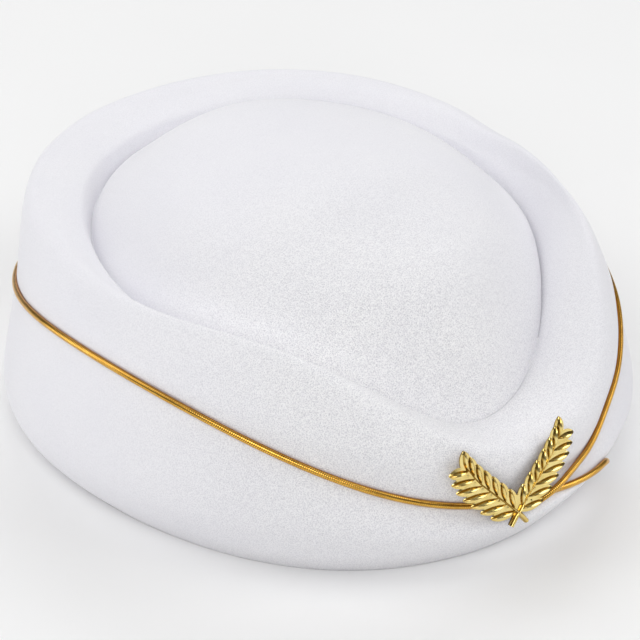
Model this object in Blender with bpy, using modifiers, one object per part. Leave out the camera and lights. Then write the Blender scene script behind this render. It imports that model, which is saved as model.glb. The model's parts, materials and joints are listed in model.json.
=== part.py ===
"""Flight attendant hat: a crown moulded from one piece of felt, a gold cord and a cast wheat badge.

Lengths are in metres and +Z is up. The front of the hat faces -Y, so the wearer's right is at -X.
An angle round the hat is in degrees, 0 at the front, and grows towards the wearer's left. A place on
the felt is such an angle and a step along the rings, from 0 at the hem's cut edge to 11 at the top.
"""
import math

import bmesh
import bpy
from mathutils import Matrix, Vector

MM = 0.001

# Felt crown
SIDE_REACH = 90.0 * MM        # from the crown's axis to the widest line at either side
FRONT_REACH = 85.0 * MM       # the same to the front
BACK_REACH = 108.5 * MM       # the same to the back
CROWN_HEIGHT = 87.0 * MM      # from the table to the highest part of the dome
DOME_RISE = 2.5 * MM          # the dome's centre above its last ring
FELT_WALL = 2.0 * MM
HEM_CURL = 8.0 * MM           # how far the wall curls in before it lies on the table
HEM_FLAT = 3.5 * MM           # width of the felt that lies flat on the table
SIDES_ROUND = 64              # facets round the felt

# Trim cord
CORD_DIAMETER = 2.0 * MM
CORD_GAP = 0.35 * MM          # clearance between the cord and what it lies on
CORD_SEAT = 1.0 * MM          # how deep the felt is pressed in along the cord's line
SEAT_WIDTH = 3.0 * MM         # from the cord's line to where the felt is level again
CORD_POINTS = 80
CORD_TRACE = 400              # points along its route, before they are spaced evenly
CORD_SIDES = 2                # bevel resolution of the cord, 8 sides

# Wheat badge, a V of two sprays whose stalks cross near the bottom
BADGE_ANGLE = -9.0            # place round the hat, in degrees
BADGE_HEIGHT = 17.3 * MM      # from the table to where the stalks cross
BADGE_STANDOFF = 3.8 * MM     # from the felt to the badge's back, where the stalks cross
BADGE_LEAN = 10.0             # how far the badge leans back, in degrees
BADGE_BEND = 160.0 * MM       # radius of the badge's gentle curve round the hat
BADGE_BASE = 0.5 * MM         # height of the leaves' side walls
SPRAY_WIDTH = 16.0 * MM       # from the crossing out to the end of a spray's rib
SPRAY_RISE = 19.0 * MM        # from the crossing up to the end of a spray's rib
STALK_WIDTH = 1.5 * MM
STALK_HEIGHT = 1.5 * MM
LEAF_WIDTH = 3.6 * MM
LEAF_RIDGE = 1.9 * MM         # height of a leaf's ridge over the badge's back
TIP_LEAF = 5.2 * MM           # length of the leaf at the end of a spray
INNER_LEAF = 6.8 * MM         # length of the leaves inside the V
OUTER_LEAF = 9.3 * MM         # length of the leaves outside the V
WEB_WIDTH = 3.2 * MM          # plain metal between the first leaves, up to the V's notch
WEB_RISE = 5.4 * MM
WEB_HEIGHT = 0.9 * MM
LEAF_TAPER = 0.9              # how fast the outer leaves grow shorter towards both ends
INNER_LEAVES = 6
OUTER_LEAVES = 7
LEAF_STEP = 0.12 * MM         # neighbouring leaves' backs lie this far apart in depth

# Pin that holds the badge, from its back through the felt
PIN_ALONG = 3.14              # place up the felt, in rings
PIN_RADIUS = 0.6 * MM
PIN_HEAD_RADIUS = 2.5 * MM
PIN_HEAD_THICKNESS = 1.0 * MM
PIN_GAP = 0.3 * MM            # clearance round the pin and to what it meets

# Rings of the crown, each through five stations: front (0), 45, side (90), 135 and back (180)
# columns: name, reach as shares of the plan's reach, height as shares of CROWN_HEIGHT
RINGS = (
    ("widest",   (0.995, 1.015, 1.005, 1.030, 1.005), (0.130, 0.190, 0.180, 0.115, 0.085)),
    ("waist",    (0.970, 0.950, 0.945, 0.985, 1.025), (0.205, 0.380, 0.585, 0.475, 0.295)),
    ("shoulder", (0.985, 0.940, 0.900, 0.945, 1.000), (0.360, 0.515, 0.675, 0.750, 0.725)),
    ("crest",    (0.935, 0.860, 0.815, 0.880, 0.920), (0.390, 0.675, 0.765, 0.785, 0.770)),
    ("lip",      (0.773, 0.770, 0.768, 0.796, 0.822), (0.372, 0.660, 0.710, 0.759, 0.757)),
    ("bank",     (0.722, 0.706, 0.740, 0.772, 0.800), (0.365, 0.590, 0.678, 0.730, 0.724)),
    ("groove",   (0.702, 0.665, 0.702, 0.753, 0.782), (0.356, 0.538, 0.622, 0.666, 0.695)),
    ("foot",     (0.684, 0.645, 0.677, 0.705, 0.757), (0.374, 0.587, 0.690, 0.745, 0.742)),
    ("brow",     (0.505, 0.455, 0.480, 0.535, 0.555), (0.750, 0.785, 0.855, 0.895, 0.935)),
    ("cap",      (0.230, 0.205, 0.240, 0.285, 0.305), (0.875, 0.895, 0.930, 0.950, 0.970)),
)
CORD_RING = 3                 # the cord lies along the waist
FIRST_RING = 2                # the hem's cut edge is ring 0 and the turn above it is ring 1
TOP_RING = FIRST_RING + len(RINGS)
# Rows of facets between a ring and the next, from the hem up to the top of the dome
ROWS_UP = (1, 3, 3, 3, 3, 2, 2, 2, 2, 3, 2, 1)

# Soft dents and swells of the felt: angle and its spread in degrees, ring and its spread in rings,
# and how far the felt goes out and up, as shares of SIDE_REACH
DENTS = (
    (-9.0, 20.0, 4.0, 0.8, -0.015, 0.000),
    (46.0, 13.0, 4.1, 0.9, -0.014, 0.000),
    (71.0, 12.0, 3.8, 1.5, -0.026, 0.000),
    (105.0, 6.0, 4.8, 1.0, -0.006, -0.010),
    (26.0, 10.0, 3.0, 0.8, -0.011, 0.009),
    (52.0, 12.0, 3.0, 0.8, 0.006, 0.000),
    (12.0, 10.0, 1.3, 0.5, -0.014, 0.000),
    (27.0, 9.0, 1.9, 0.6, -0.009, 0.000),
    (48.0, 12.0, 2.2, 0.6, -0.004, 0.000),
)

# Cord's route, from its end hidden behind the badge, round by the wearer's left to the hem in front
# columns: angle in degrees, place in rings, lift off the felt in cord diameters
CORD_ROUTE = (
    (-4.5, 2.57, 0.5),
    (-1.8, 2.75, 0.95),
    (0.6, 2.99, 1.1),
    (3.2, 3.10, 1.0),
    (6.0, 3.13, 0.6),
    (10.0, 3.11, 0.15),
    (14.0, 3.06, -0.1),
    (18.0, 3.02, -0.35),
    (26.0, 3.00, -0.5),
    (40.0, 3.00, -0.5),
    (70.0, 3.00, -0.5),
    (100.0, 3.00, -0.5),
    (130.0, 3.00, -0.5),
    (160.0, 3.00, -0.5),
    (190.0, 3.00, -0.5),
    (220.0, 3.00, -0.5),
    (250.0, 3.00, -0.5),
    (280.0, 3.00, -0.5),
    (310.0, 3.00, -0.5),
    (336.0, 3.00, -0.5),
    (346.0, 3.00, -0.5),
    (352.0, 2.98, -0.4),
    (357.0, 2.89, -0.2),
    (362.0, 2.74, 0.0),
    (367.0, 2.50, 0.0),
    (371.0, 2.33, 0.0),
    (375.0, 2.19, 0.0),
    (379.0, 2.05, 0.0),
    (382.3, 1.78, 0.0),
    (385.0, 1.50, 0.0),
)

# A spray's rib from the crossing to its end, as shares of SPRAY_WIDTH and SPRAY_RISE
RIB = ((0.00, 0.00), (0.28, 0.25), (0.55, 0.49), (0.80, 0.73), (1.00, 1.00))
# The stalk's tail on the far side of the crossing, as shares of the same
TAIL = ((0.00, 0.00), (-0.08, -0.09), (-0.165, -0.19))
# columns: place along a leaf, half width and ridge as shares of the leaf's own sizes
LEAF_SECTIONS = ((0.00, 0.55, 0.70), (0.40, 1.00, 1.00), (0.75, 0.74, 0.86), (1.00, 0.10, 0.40))
TIP_TURN = 26.0               # turn of the end leaf from the rib's end, towards the V
INNER_SPREAD = 30.0           # angle between the spray and a leaf inside the V
OUTER_SPREAD = 50.0           # angle between the spray and a leaf outside the V


def clear_scene():
    for item in list(bpy.data.objects):
        bpy.data.objects.remove(item, do_unlink=True)


def new_collection(name):
    group = bpy.data.collections.new(name)
    bpy.context.scene.collection.children.link(group)
    return group


def material(name, colour, roughness, metallic):
    finish = bpy.data.materials.new(name)
    finish.use_nodes = True
    shader = finish.node_tree.nodes["Principled BSDF"]
    shader.inputs["Base Color"].default_value = (*colour, 1.0)
    shader.inputs["Roughness"].default_value = roughness
    shader.inputs["Metallic"].default_value = metallic
    return finish


def new_object(name, mesh, group, finish=None):
    item = bpy.data.objects.new(name, mesh)
    group.objects.link(item)
    if finish:
        mesh.materials.append(finish)
    return item


def as_cutter(item):
    item.hide_render = True
    item.display_type = 'WIRE'


def catmull_rom(before, near, far, after, part):
    """Smooth point between near and far."""
    return (near * 2 + (far - before) * part
            + (before * 2 - near * 5 + far * 4 - after) * part ** 2
            + (near * 3 - before - far * 3 + after) * part ** 3) / 2


def smooth_route(points, count):
    """Evenly spaced points on the smooth curve through some points."""
    ends = [points[0] * 2 - points[1]] + list(points) + [points[-1] * 2 - points[-2]]
    fine = []
    for place in range(len(points) - 1):
        for part in range(24):
            fine.append(catmull_rom(*ends[place:place + 4], part / 24))
    fine.append(points[-1].copy())
    lengths = [0.0]
    for near, far in zip(fine, fine[1:]):
        lengths.append(lengths[-1] + (far - near).length)
    even, place = [], 0
    for turn in range(count):
        goal = lengths[-1] * turn / (count - 1)
        while place < len(fine) - 2 and lengths[place + 1] < goal:
            place += 1
        part = (goal - lengths[place]) / (lengths[place + 1] - lengths[place])
        even.append(fine[place].lerp(fine[place + 1], min(part, 1.0)))
    return even


def even_curve(values, angle):
    """Value at an angle on the smooth curve, alike on both sides, through one value a station."""
    spans = len(values) - 1
    total = 0.0
    for wave in range(spans + 1):
        share = 0.0
        for place, value in enumerate(values):
            weight = 0.5 if place in (0, spans) else 1.0
            share += weight * value * math.cos(math.pi * wave * place / spans)
        if wave in (0, spans):
            share *= 0.5
        total += share * 2 / spans * math.cos(wave * math.radians(angle))
    return total


def ring_point(ring, angle):
    """Point of a ring of the felt, from the hem's cut edge (0) to the top of the dome."""
    if ring == TOP_RING:
        last = RINGS[-1][2]
        height = (last[0] + 2 * last[1] + 2 * last[2] + 2 * last[3] + last[4]) / 8 * CROWN_HEIGHT
        return Vector((0.0, 0.0, height + DOME_RISE))
    plan = even_curve((FRONT_REACH, SIDE_REACH, BACK_REACH), angle)
    reaches, heights = RINGS[max(ring - FIRST_RING, 0)][1:]
    reach = plan * even_curve(reaches, angle)
    height = CROWN_HEIGHT * even_curve(heights, angle)
    if ring < FIRST_RING:
        reach -= HEM_CURL
        height = 0.0
    if ring == 0:
        reach -= HEM_FLAT
    turn = math.radians(angle)
    return Vector((reach * math.sin(turn), -reach * math.cos(turn), height))


def felt_point(angle, along):
    """Point of the felt's outer face at an angle, so many rings up from the hem."""
    ring = min(int(along), TOP_RING - 1)
    part = along - ring
    near, far = ring_point(ring, angle), ring_point(ring + 1, angle)
    if ring == 0:
        return near.lerp(far, part)
    beyond = ring_point(ring + 2, angle) if ring + 2 <= TOP_RING else ring_point(ring, angle + 180)
    point = catmull_rom(ring_point(ring - 1, angle), near, far, beyond, part)
    outwards = Vector((math.sin(math.radians(angle)), -math.cos(math.radians(angle)), 0.0))
    for middle, spread, row, rows, out, up in DENTS:
        away = (angle - middle + 180) % 360 - 180
        share = math.exp(-(away / spread) ** 2 - ((along - row) / rows) ** 2)
        point += (outwards * out + Vector((0.0, 0.0, up))) * SIDE_REACH * share
    return point


def felt_normal(angle, along):
    """Direction straight out of the felt's outer face."""
    round_hat = felt_point(angle + 1.0, along) - felt_point(angle - 1.0, along)
    up_hat = felt_point(angle, along + 0.05) - felt_point(angle, along - 0.05)
    return round_hat.cross(up_hat).normalized()


def loft(rows, top=None):
    """Mesh of facets between closed rows of points, drawn together to a point at the top."""
    build = bmesh.new()
    loops = [[build.verts.new(point) for point in row] for row in rows]
    for low, high in zip(loops, loops[1:]):
        for place in range(len(low)):
            after = (place + 1) % len(low)
            build.faces.new((low[place], low[after], high[after], high[place]))
    if top is not None:
        peak = build.verts.new(top)
        for place in range(len(loops[-1])):
            build.faces.new((loops[-1][place], loops[-1][(place + 1) % len(loops[-1])], peak))
    return build


def finish_mesh(build, name):
    mesh = bpy.data.meshes.new(name)
    bmesh.ops.recalc_face_normals(build, faces=build.faces)
    build.to_mesh(mesh)
    build.free()
    return mesh


def felt_rows(angle):
    """Places up the felt of the rows of facets at an angle, without the top."""
    line = felt_point(angle, CORD_RING)
    below = SEAT_WIDTH / (line - felt_point(angle, CORD_RING - 1)).length
    above = SEAT_WIDTH / (line - felt_point(angle, CORD_RING + 1)).length
    places = []
    for ring, rows in enumerate(ROWS_UP):
        if ring == CORD_RING - 1:
            places += [ring + (1 - below) * row / (rows - 1) for row in range(rows)]
        elif ring == CORD_RING:
            places.append(ring)
            places += [ring + above + (1 - above) * row / (rows - 1) for row in range(rows - 1)]
        else:
            places += [ring + row / rows for row in range(rows)]
    return places


def seated_point(angle, along):
    """Point of the felt's outer face, pressed in along the cord's line."""
    point = felt_point(angle, along)
    if along == CORD_RING:
        point -= felt_normal(angle, along) * CORD_SEAT
    return point


def make_felt(group):
    columns = []
    for place in range(SIDES_ROUND):
        angle = 360 * place / SIDES_ROUND
        columns.append([seated_point(angle, along) for along in felt_rows(angle)])
    build = loft(zip(*columns), felt_point(0.0, TOP_RING))
    mesh = bpy.data.meshes.new("felt_body")
    build.to_mesh(mesh)
    build.free()
    mesh.shade_smooth()
    finish = material("white_felt", (0.86, 0.86, 0.88), 0.95, 0.0)
    felt = new_object("felt_body", mesh, group, finish)
    wall = felt.modifiers.new("felt wall", 'SOLIDIFY')
    wall.thickness = FELT_WALL
    wall.offset = -1.0
    return felt


def cord_centres():
    """Evenly spaced points on the cord's centre line."""
    points = [Vector((math.radians(angle), along, lift)) for angle, along, lift in CORD_ROUTE]
    centres = []
    for place in smooth_route(points, CORD_TRACE):
        angle, along = math.degrees(place.x), place.y
        off = CORD_DIAMETER * (0.5 + place.z) + CORD_GAP
        centres.append(felt_point(angle, along) + felt_normal(angle, along) * off)
    return smooth_route(centres, CORD_POINTS)


def make_cord(group):
    curve = bpy.data.curves.new("trim_cord", 'CURVE')
    curve.dimensions = '3D'
    curve.bevel_depth = CORD_DIAMETER / 2
    curve.bevel_resolution = CORD_SIDES
    curve.use_fill_caps = True
    route = curve.splines.new('POLY')
    centres = cord_centres()
    route.points.add(len(centres) - 1)
    for slot, centre in zip(route.points, centres):
        slot.co = (*centre, 1.0)
    curve.materials.append(material("gold_cord", (0.72, 0.42, 0.08), 0.35, 0.8))
    cord = bpy.data.objects.new("trim_cord", curve)
    group.objects.link(cord)
    return cord


def badge_frame():
    """Where the badge's stalks cross on its back, with its right, up and outward directions."""
    out = Vector((math.sin(math.radians(BADGE_ANGLE)), -math.cos(math.radians(BADGE_ANGLE)), 0.0))
    low, high = 2.0, 4.0
    for _ in range(30):
        middle = (low + high) / 2
        if felt_point(BADGE_ANGLE, middle).z < BADGE_HEIGHT:
            low = middle
        else:
            high = middle
    across = Vector((0.0, 0.0, 1.0)).cross(out).normalized()
    lean = Matrix.Rotation(-math.radians(BADGE_LEAN), 3, across)
    outward = lean @ out
    up = outward.cross(across)
    return felt_point(BADGE_ANGLE, low) + out * BADGE_STANDOFF, across, up, outward


def on_badge(across, up, height):
    """Point in space of a place on the badge, which curves gently round the hat."""
    corner, right, upward, outward = badge_frame()
    turn = across / BADGE_BEND
    sink = BADGE_BEND * (1 - math.cos(turn))
    reach = BADGE_BEND * math.sin(turn)
    return corner + right * (reach + height * math.sin(turn)) + upward * up \
        + outward * (height * math.cos(turn) - sink)


def rib_place(side, share, track=RIB):
    """Point and direction on a spray's rib in the badge's plane; side is -1 or 1."""
    steps = len(track) - 1
    step = min(int(share * steps), steps - 1)
    part = share * steps - step
    points = [Vector((side * x * SPRAY_WIDTH, y * SPRAY_RISE)) for x, y in track]
    ends = [points[0] * 2 - points[1]] + points + [points[-1] * 2 - points[-2]]
    here = catmull_rom(*ends[step:step + 4], part)
    ahead = catmull_rom(*ends[step:step + 4], part + 0.02)
    return here, (ahead - here).normalized()


def turned(direction, angle):
    """Direction in the badge's plane, turned by an angle in degrees."""
    turn = math.radians(angle)
    return Vector((direction.x * math.cos(turn) - direction.y * math.sin(turn),
                   direction.x * math.sin(turn) + direction.y * math.cos(turn)))


def raised_bar(sections, back):
    """Closed solid through sections of (middle, sideways, half width, ridge), with a ridge on top."""
    build = bmesh.new()
    loops = []
    for middle, sideways, half, ridge in sections:
        edge = min(BADGE_BASE, ridge * 0.6)
        outline = ((-half, back), (-half, edge), (0.0, ridge), (half, edge), (half, back))
        places = [(middle + sideways * offset, height) for offset, height in outline]
        loops.append([build.verts.new(on_badge(flat.x, flat.y, height)) for flat, height in places])
    for near, far in zip(loops, loops[1:]):
        for place in range(len(near)):
            after = (place + 1) % len(near)
            build.faces.new((near[place], near[after], far[after], far[place]))
    build.faces.new(loops[0][::-1])
    build.faces.new(loops[-1])
    bmesh.ops.triangulate(build, faces=build.faces)
    return build


def leaf(start, direction, length, back):
    """One leaf of the badge from its stem end."""
    sideways = turned(direction, 90)
    sections = []
    for share, width, ridge in LEAF_SECTIONS:
        middle = start + direction * (length * share)
        sections.append((middle, sideways, LEAF_WIDTH / 2 * width, LEAF_RIDGE * ridge))
    return raised_bar(sections, back)


def stalk(side, back):
    """A spray's stalk: its tail, the crossing and its rib."""
    sections = []
    for track, shares in ((TAIL, (1.0, 0.5)), (RIB, (0.0, 0.2, 0.4, 0.6, 0.8, 1.0))):
        for share in shares:
            here, ahead = rib_place(side, share, track)
            if track is TAIL:
                ahead = -ahead
            sections.append((here, turned(ahead, 90), STALK_WIDTH / 2, STALK_HEIGHT))
    return raised_bar(sections, back)


def web():
    """The plain metal between the two sprays, just above the crossing."""
    sections = []
    for share in (0.0, 0.5, 1.0):
        middle = Vector((0.0, WEB_RISE * share))
        sections.append((middle, Vector((-1.0, 0.0)), WEB_WIDTH / 2, WEB_HEIGHT))
    return raised_bar(sections, 0.5 * LEAF_STEP)


def spray_pieces(side):
    """Solids of one spray: stalk, leaf at the end, leaves inside and outside the V."""
    under = 0.4 * LEAF_STEP if side > 0 else 0.0
    pieces = [("stalk", stalk(side, -LEAF_STEP - under))]
    end, ahead = rib_place(side, 1.0)
    ahead = turned(ahead, side * TIP_TURN)
    pieces.append(("tip_leaf", leaf(end - ahead * STALK_WIDTH, ahead, TIP_LEAF + STALK_WIDTH, under)))
    along = Vector((side * SPRAY_WIDTH, SPRAY_RISE)).normalized()
    rows = (
        (INNER_LEAVES, INNER_SPREAD, INNER_LEAF, 0.07, 0.82, 0.0, 1),
        (OUTER_LEAVES, -OUTER_SPREAD, OUTER_LEAF, 0.04, 0.94, LEAF_TAPER, 3),
    )
    for count, spread, length, first, last, taper, depth in rows:
        for place in range(count):
            share = first + (last - first) * place / (count - 1)
            size = length * (1.0 - taper * (share - 0.35) ** 2)
            back = LEAF_STEP * (depth + place % 2) + under
            start = rib_place(side, share)[0]
            direction = turned(along, side * spread)
            pieces.append((f"leaf_{count}_{place}", leaf(start, direction, size, back)))
    return pieces


def make_badge(group, cutters):
    pieces = spray_pieces(-1) + spray_pieces(1) + [("web", web())]
    leaves = new_collection("badge leaves")
    cutters.children.link(leaves)
    bpy.context.scene.collection.children.unlink(leaves)
    finish = material("polished_gold", (0.86, 0.66, 0.26), 0.2, 1.0)
    badge = None
    for place, (name, build) in enumerate(pieces):
        mesh = finish_mesh(build, name)
        if place == 0:
            badge = new_object("wheat_badge", mesh, group, finish)
        else:
            as_cutter(new_object(f"badge_{name}_{place}", mesh, leaves))
    join = badge.modifiers.new("joined sprays", 'BOOLEAN')
    join.operation = 'UNION'
    join.operand_type = 'COLLECTION'
    join.collection = leaves
    join.solver = 'MANIFOLD'      # the exact solver leaves this many crossing leaves open
    return badge


def turned_solid(name, profile, start, axis, sides=16):
    """Round closed solid along an axis, through (distance along, radius) pairs."""
    side = axis.orthogonal().normalized()
    other = axis.cross(side)
    build = bmesh.new()
    loops = []
    for along, radius in profile:
        loop = []
        for place in range(sides):
            turn = 2 * math.pi * place / sides
            away = side * math.cos(turn) + other * math.sin(turn)
            loop.append(build.verts.new(start + axis * along + away * radius))
        loops.append(loop)
    for near, far in zip(loops, loops[1:]):
        for place in range(sides):
            after = (place + 1) % sides
            build.faces.new((near[place], near[after], far[after], far[place]))
    build.faces.new(loops[0][::-1])
    build.faces.new(loops[-1])
    return finish_mesh(build, name)


def pin_reach(start, axis):
    """Distance from the felt along the pin's axis to the badge's back."""
    corner, right, up, outward = badge_frame()
    across = (start - corner).dot(right)
    sink = BADGE_BEND * (1 - math.cos(across / BADGE_BEND))
    return ((corner - outward * sink - start).dot(outward)) / axis.dot(outward)


def make_pin(group, cutters, felt):
    """Pin with a flat head inside the hat, and the hole in the felt that it goes through."""
    start = felt_point(BADGE_ANGLE, PIN_ALONG)
    axis = felt_normal(BADGE_ANGLE, PIN_ALONG)
    tilt = math.sin(math.radians(BADGE_LEAN)) * PIN_RADIUS
    top = pin_reach(start, axis) - PIN_GAP - tilt
    seat = -(FELT_WALL + CORD_SEAT + PIN_GAP)
    profile = (
        (seat - PIN_HEAD_THICKNESS, PIN_HEAD_RADIUS),
        (seat, PIN_HEAD_RADIUS),
        (seat, PIN_RADIUS),
        (top, PIN_RADIUS),
    )
    mesh = turned_solid("badge_pin", profile, start, axis)
    pin = new_object("badge_pin", mesh, group, material("pin_brass", (0.62, 0.50, 0.30), 0.4, 1.0))
    hole = ((seat, PIN_RADIUS + PIN_GAP), (FELT_WALL, PIN_RADIUS + PIN_GAP))
    cutter = new_object("pin_hole", turned_solid("pin_hole", hole, start, axis), cutters)
    as_cutter(cutter)
    cut = felt.modifiers.new("pin hole", 'BOOLEAN')
    cut.operation = 'DIFFERENCE'
    cut.object = cutter
    cut.solver = 'EXACT'
    return pin


def place_on_table(items):
    """Move the pieces so that the middle of the whole hat's box is over the origin."""
    shapes = bpy.context.evaluated_depsgraph_get()
    corners = []
    for item in items:
        solid = item.evaluated_get(shapes)
        corners += [solid.matrix_world @ point.co for point in solid.to_mesh().vertices]
        solid.to_mesh_clear()
    shift = Vector((0.0, 0.0, 0.0))
    for axis in range(2):
        spans = [corner[axis] for corner in corners]
        shift[axis] = -(min(spans) + max(spans)) / 2
    for item in bpy.data.objects:
        item.location += shift


def main():
    clear_scene()
    parts = new_collection("flight_attendant_hat")
    cutters = new_collection("cutters")
    felt = make_felt(parts)
    cord = make_cord(parts)
    badge = make_badge(parts, cutters)
    pin = make_pin(parts, cutters, felt)
    place_on_table((felt, cord, badge, pin))


main()
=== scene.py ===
"""Looks of the flight attendant hat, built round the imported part.

Lengths are in metres and +Z is up. The front of the hat faces -Y, so the wearer's right is at
-X. An angle round the hat is in degrees, 0 at the front, and grows towards the wearer's left. A
place on the felt is such an angle and a step along the rings, from 0 at the hem's cut edge to 12 at
the top of the dome.
"""
import json
import math

import bmesh
import bpy
import numpy as np
from mathutils import Matrix, Vector, kdtree, noise

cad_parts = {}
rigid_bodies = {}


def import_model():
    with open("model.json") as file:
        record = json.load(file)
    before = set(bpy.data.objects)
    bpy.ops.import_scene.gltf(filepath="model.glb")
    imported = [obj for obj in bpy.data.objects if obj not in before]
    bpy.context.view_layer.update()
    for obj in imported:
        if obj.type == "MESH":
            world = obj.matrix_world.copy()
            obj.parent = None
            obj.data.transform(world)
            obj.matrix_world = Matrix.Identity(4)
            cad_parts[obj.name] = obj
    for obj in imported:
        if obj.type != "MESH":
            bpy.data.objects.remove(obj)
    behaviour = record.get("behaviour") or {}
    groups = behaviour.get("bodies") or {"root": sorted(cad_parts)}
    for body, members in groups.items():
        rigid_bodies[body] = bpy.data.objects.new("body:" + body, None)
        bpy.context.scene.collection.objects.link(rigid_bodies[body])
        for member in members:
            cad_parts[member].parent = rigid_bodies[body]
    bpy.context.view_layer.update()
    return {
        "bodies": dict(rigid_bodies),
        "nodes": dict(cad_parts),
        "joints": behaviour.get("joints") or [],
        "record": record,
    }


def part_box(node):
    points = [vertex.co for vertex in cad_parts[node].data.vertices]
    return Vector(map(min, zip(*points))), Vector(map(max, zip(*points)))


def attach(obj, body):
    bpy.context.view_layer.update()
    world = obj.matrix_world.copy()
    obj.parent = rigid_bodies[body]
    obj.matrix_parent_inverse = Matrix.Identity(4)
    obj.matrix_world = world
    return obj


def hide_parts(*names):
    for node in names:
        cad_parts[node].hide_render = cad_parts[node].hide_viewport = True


MM = 0.001

# Felt crown; the three reaches are the plan's, from the middle axis outwards
SIDE_REACH = 90.0 * MM
FRONT_REACH = 85.0 * MM
BACK_REACH = 108.5 * MM
CROWN_HEIGHT = 87.0 * MM      # unit of the rings' heights
DOME_RISE = 2.5 * MM          # of the dome's top over the middle of its last ring
FELT_WALL = 2.0 * MM
HEM_CURL = 8.0 * MM           # how far the wall turns in to where it meets the table
HEM_FLAT = 3.5 * MM           # from there to the cut edge
FIRST_RING = 2                # ring of the first row of RINGS
CORD_RING = 3
GROOVE_RING = 8
CREASE_SHARPNESS = 0.55       # of the groove: 1 is a corner and 0 a round bottom
# columns: name, reach as shares of the plan's reach, height as shares of CROWN_HEIGHT
RINGS = (
    ("widest",   (0.995, 1.015, 1.005, 1.030, 1.005), (0.130, 0.190, 0.180, 0.115, 0.085)),
    ("waist",    (0.970, 0.950, 0.945, 0.985, 1.025), (0.205, 0.380, 0.585, 0.475, 0.295)),
    ("shoulder", (0.985, 0.940, 0.900, 0.945, 1.000), (0.360, 0.515, 0.675, 0.750, 0.725)),
    ("crest",    (0.935, 0.860, 0.815, 0.880, 0.920), (0.390, 0.675, 0.765, 0.785, 0.770)),
    ("lip",      (0.773, 0.770, 0.768, 0.796, 0.822), (0.372, 0.660, 0.710, 0.759, 0.757)),
    ("bank",     (0.722, 0.706, 0.740, 0.772, 0.800), (0.365, 0.590, 0.678, 0.730, 0.724)),
    ("groove",   (0.702, 0.665, 0.702, 0.753, 0.782), (0.356, 0.538, 0.622, 0.666, 0.695)),
    ("foot",     (0.684, 0.645, 0.677, 0.705, 0.757), (0.374, 0.587, 0.690, 0.745, 0.742)),
    ("brow",     (0.505, 0.455, 0.480, 0.535, 0.555), (0.750, 0.785, 0.855, 0.895, 0.935)),
    ("cap",      (0.230, 0.205, 0.240, 0.285, 0.305), (0.875, 0.895, 0.930, 0.950, 0.970)),
)
TOP_RING = FIRST_RING + len(RINGS)
# Dents and swellings; columns: angle and its spread in degrees, ring and its spread in rings,
# out and up as shares of SIDE_REACH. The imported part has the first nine.
DENTS = (
    (-9.0, 20.0, 4.0, 0.8, -0.015, 0.000),
    (46.0, 13.0, 4.1, 0.9, -0.014, 0.000),
    (71.0, 12.0, 3.8, 1.5, -0.026, 0.000),
    (105.0, 6.0, 4.8, 1.0, -0.006, -0.010),
    (26.0, 10.0, 3.0, 0.8, -0.011, 0.009),
    (52.0, 12.0, 3.0, 0.8, 0.006, 0.000),
    (12.0, 10.0, 1.3, 0.5, -0.014, 0.000),
    (27.0, 9.0, 1.9, 0.6, -0.009, 0.000),
    (48.0, 12.0, 2.2, 0.6, -0.004, 0.000),
    (-118.0, 20.0, 8.0, 0.6, 0.000, 0.008),
    (-100.0, 30.0, 8.0, 0.5, 0.014, 0.000),
    (-148.0, 14.0, 3.0, 0.9, -0.010, 0.015),
    (-104.0, 18.0, 8.7, 0.7, 0.000, -0.022),
    (75.0, 45.0, 8.0, 0.6, 0.000, -0.018),
)
FELT_COLUMNS = 320
# Rows of facets from each ring to the next
ROWS_UP = (3, 12, 16, 12, 11, 10, 7, 6, 7, 14, 12, 10)
SEAT_SPAN = 3.4 * MM          # extra rows lie this far above and below the cord's line
SEAT_ROWS = (0.08, 0.16, 0.24, 0.32, 0.40, 0.50, 0.62, 0.78, 1.0)     # as shares of SEAT_SPAN
EDGE_TURNS = (25, 60, 90, 120, 155)      # degrees round the hem's cut edge of its rows of vertices
HEM_ROWS = 8.0                # the unevenness grows from nothing over so many rows from the hem
# Unevenness of hand-blocked felt; columns: height, scale of the noise, place in the noise
SWELLS = (
    (0.22 * MM, 28.0, (0.0, 0.0, 0.0)),
    (0.10 * MM, 75.0, (7.0, 3.0, 5.0)),
)
ROUNDING = 1e-9               # a place in rings that is meant to be whole may miss by this
NORMAL_TURN = 1.0             # step in degrees, to find the felt's direction
NORMAL_CLIMB = 0.05           # step in rings, to find the felt's direction

# How the cord presses the felt
SEAT_REACH = 3.0 * MM         # felt further from the cord's middle isn't pressed
SEAT_DEEPEST = 2.0 * MM       # nor is felt this far below the cord's middle
DIMPLE = 0.28 * MM            # how deep the felt sinks beside the cord
DIMPLE_START = 0.9            # share of the cord's half width at which the dimple starts to fade
DIMPLE_SPREAD = 0.55 * MM
DIMPLE_TOUCH = 1.1 * MM       # it is gone where the felt is this far below the cord's middle

# Trim cord
CORD_DIAMETER = 2.0 * MM
CORD_CONTACT = 0.03 * MM      # clearance between the cord and the felt pressed in round it
CORD_TRACE = 2400             # points along its centre line
ROUTE_STEPS = 40              # steps from each point of a route to the next, before even spacing
ROUTE_POINTS = 500            # evenly spaced points along the cord's route on the felt
HEIGHT_WEIGHT = 0.2           # of the height over the felt in that even spacing
THREAD_PITCH = 0.62 * MM      # one turn of the gold thread round the cord
THREAD_RELIEF = 0.04 * MM
STEPS_A_TURN = 5
CORD_SIDES = 12
PAINTED_BRIGHT_SIDE = -20.0           # the cord's colour is painted brightest this many degrees up from straight out
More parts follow.
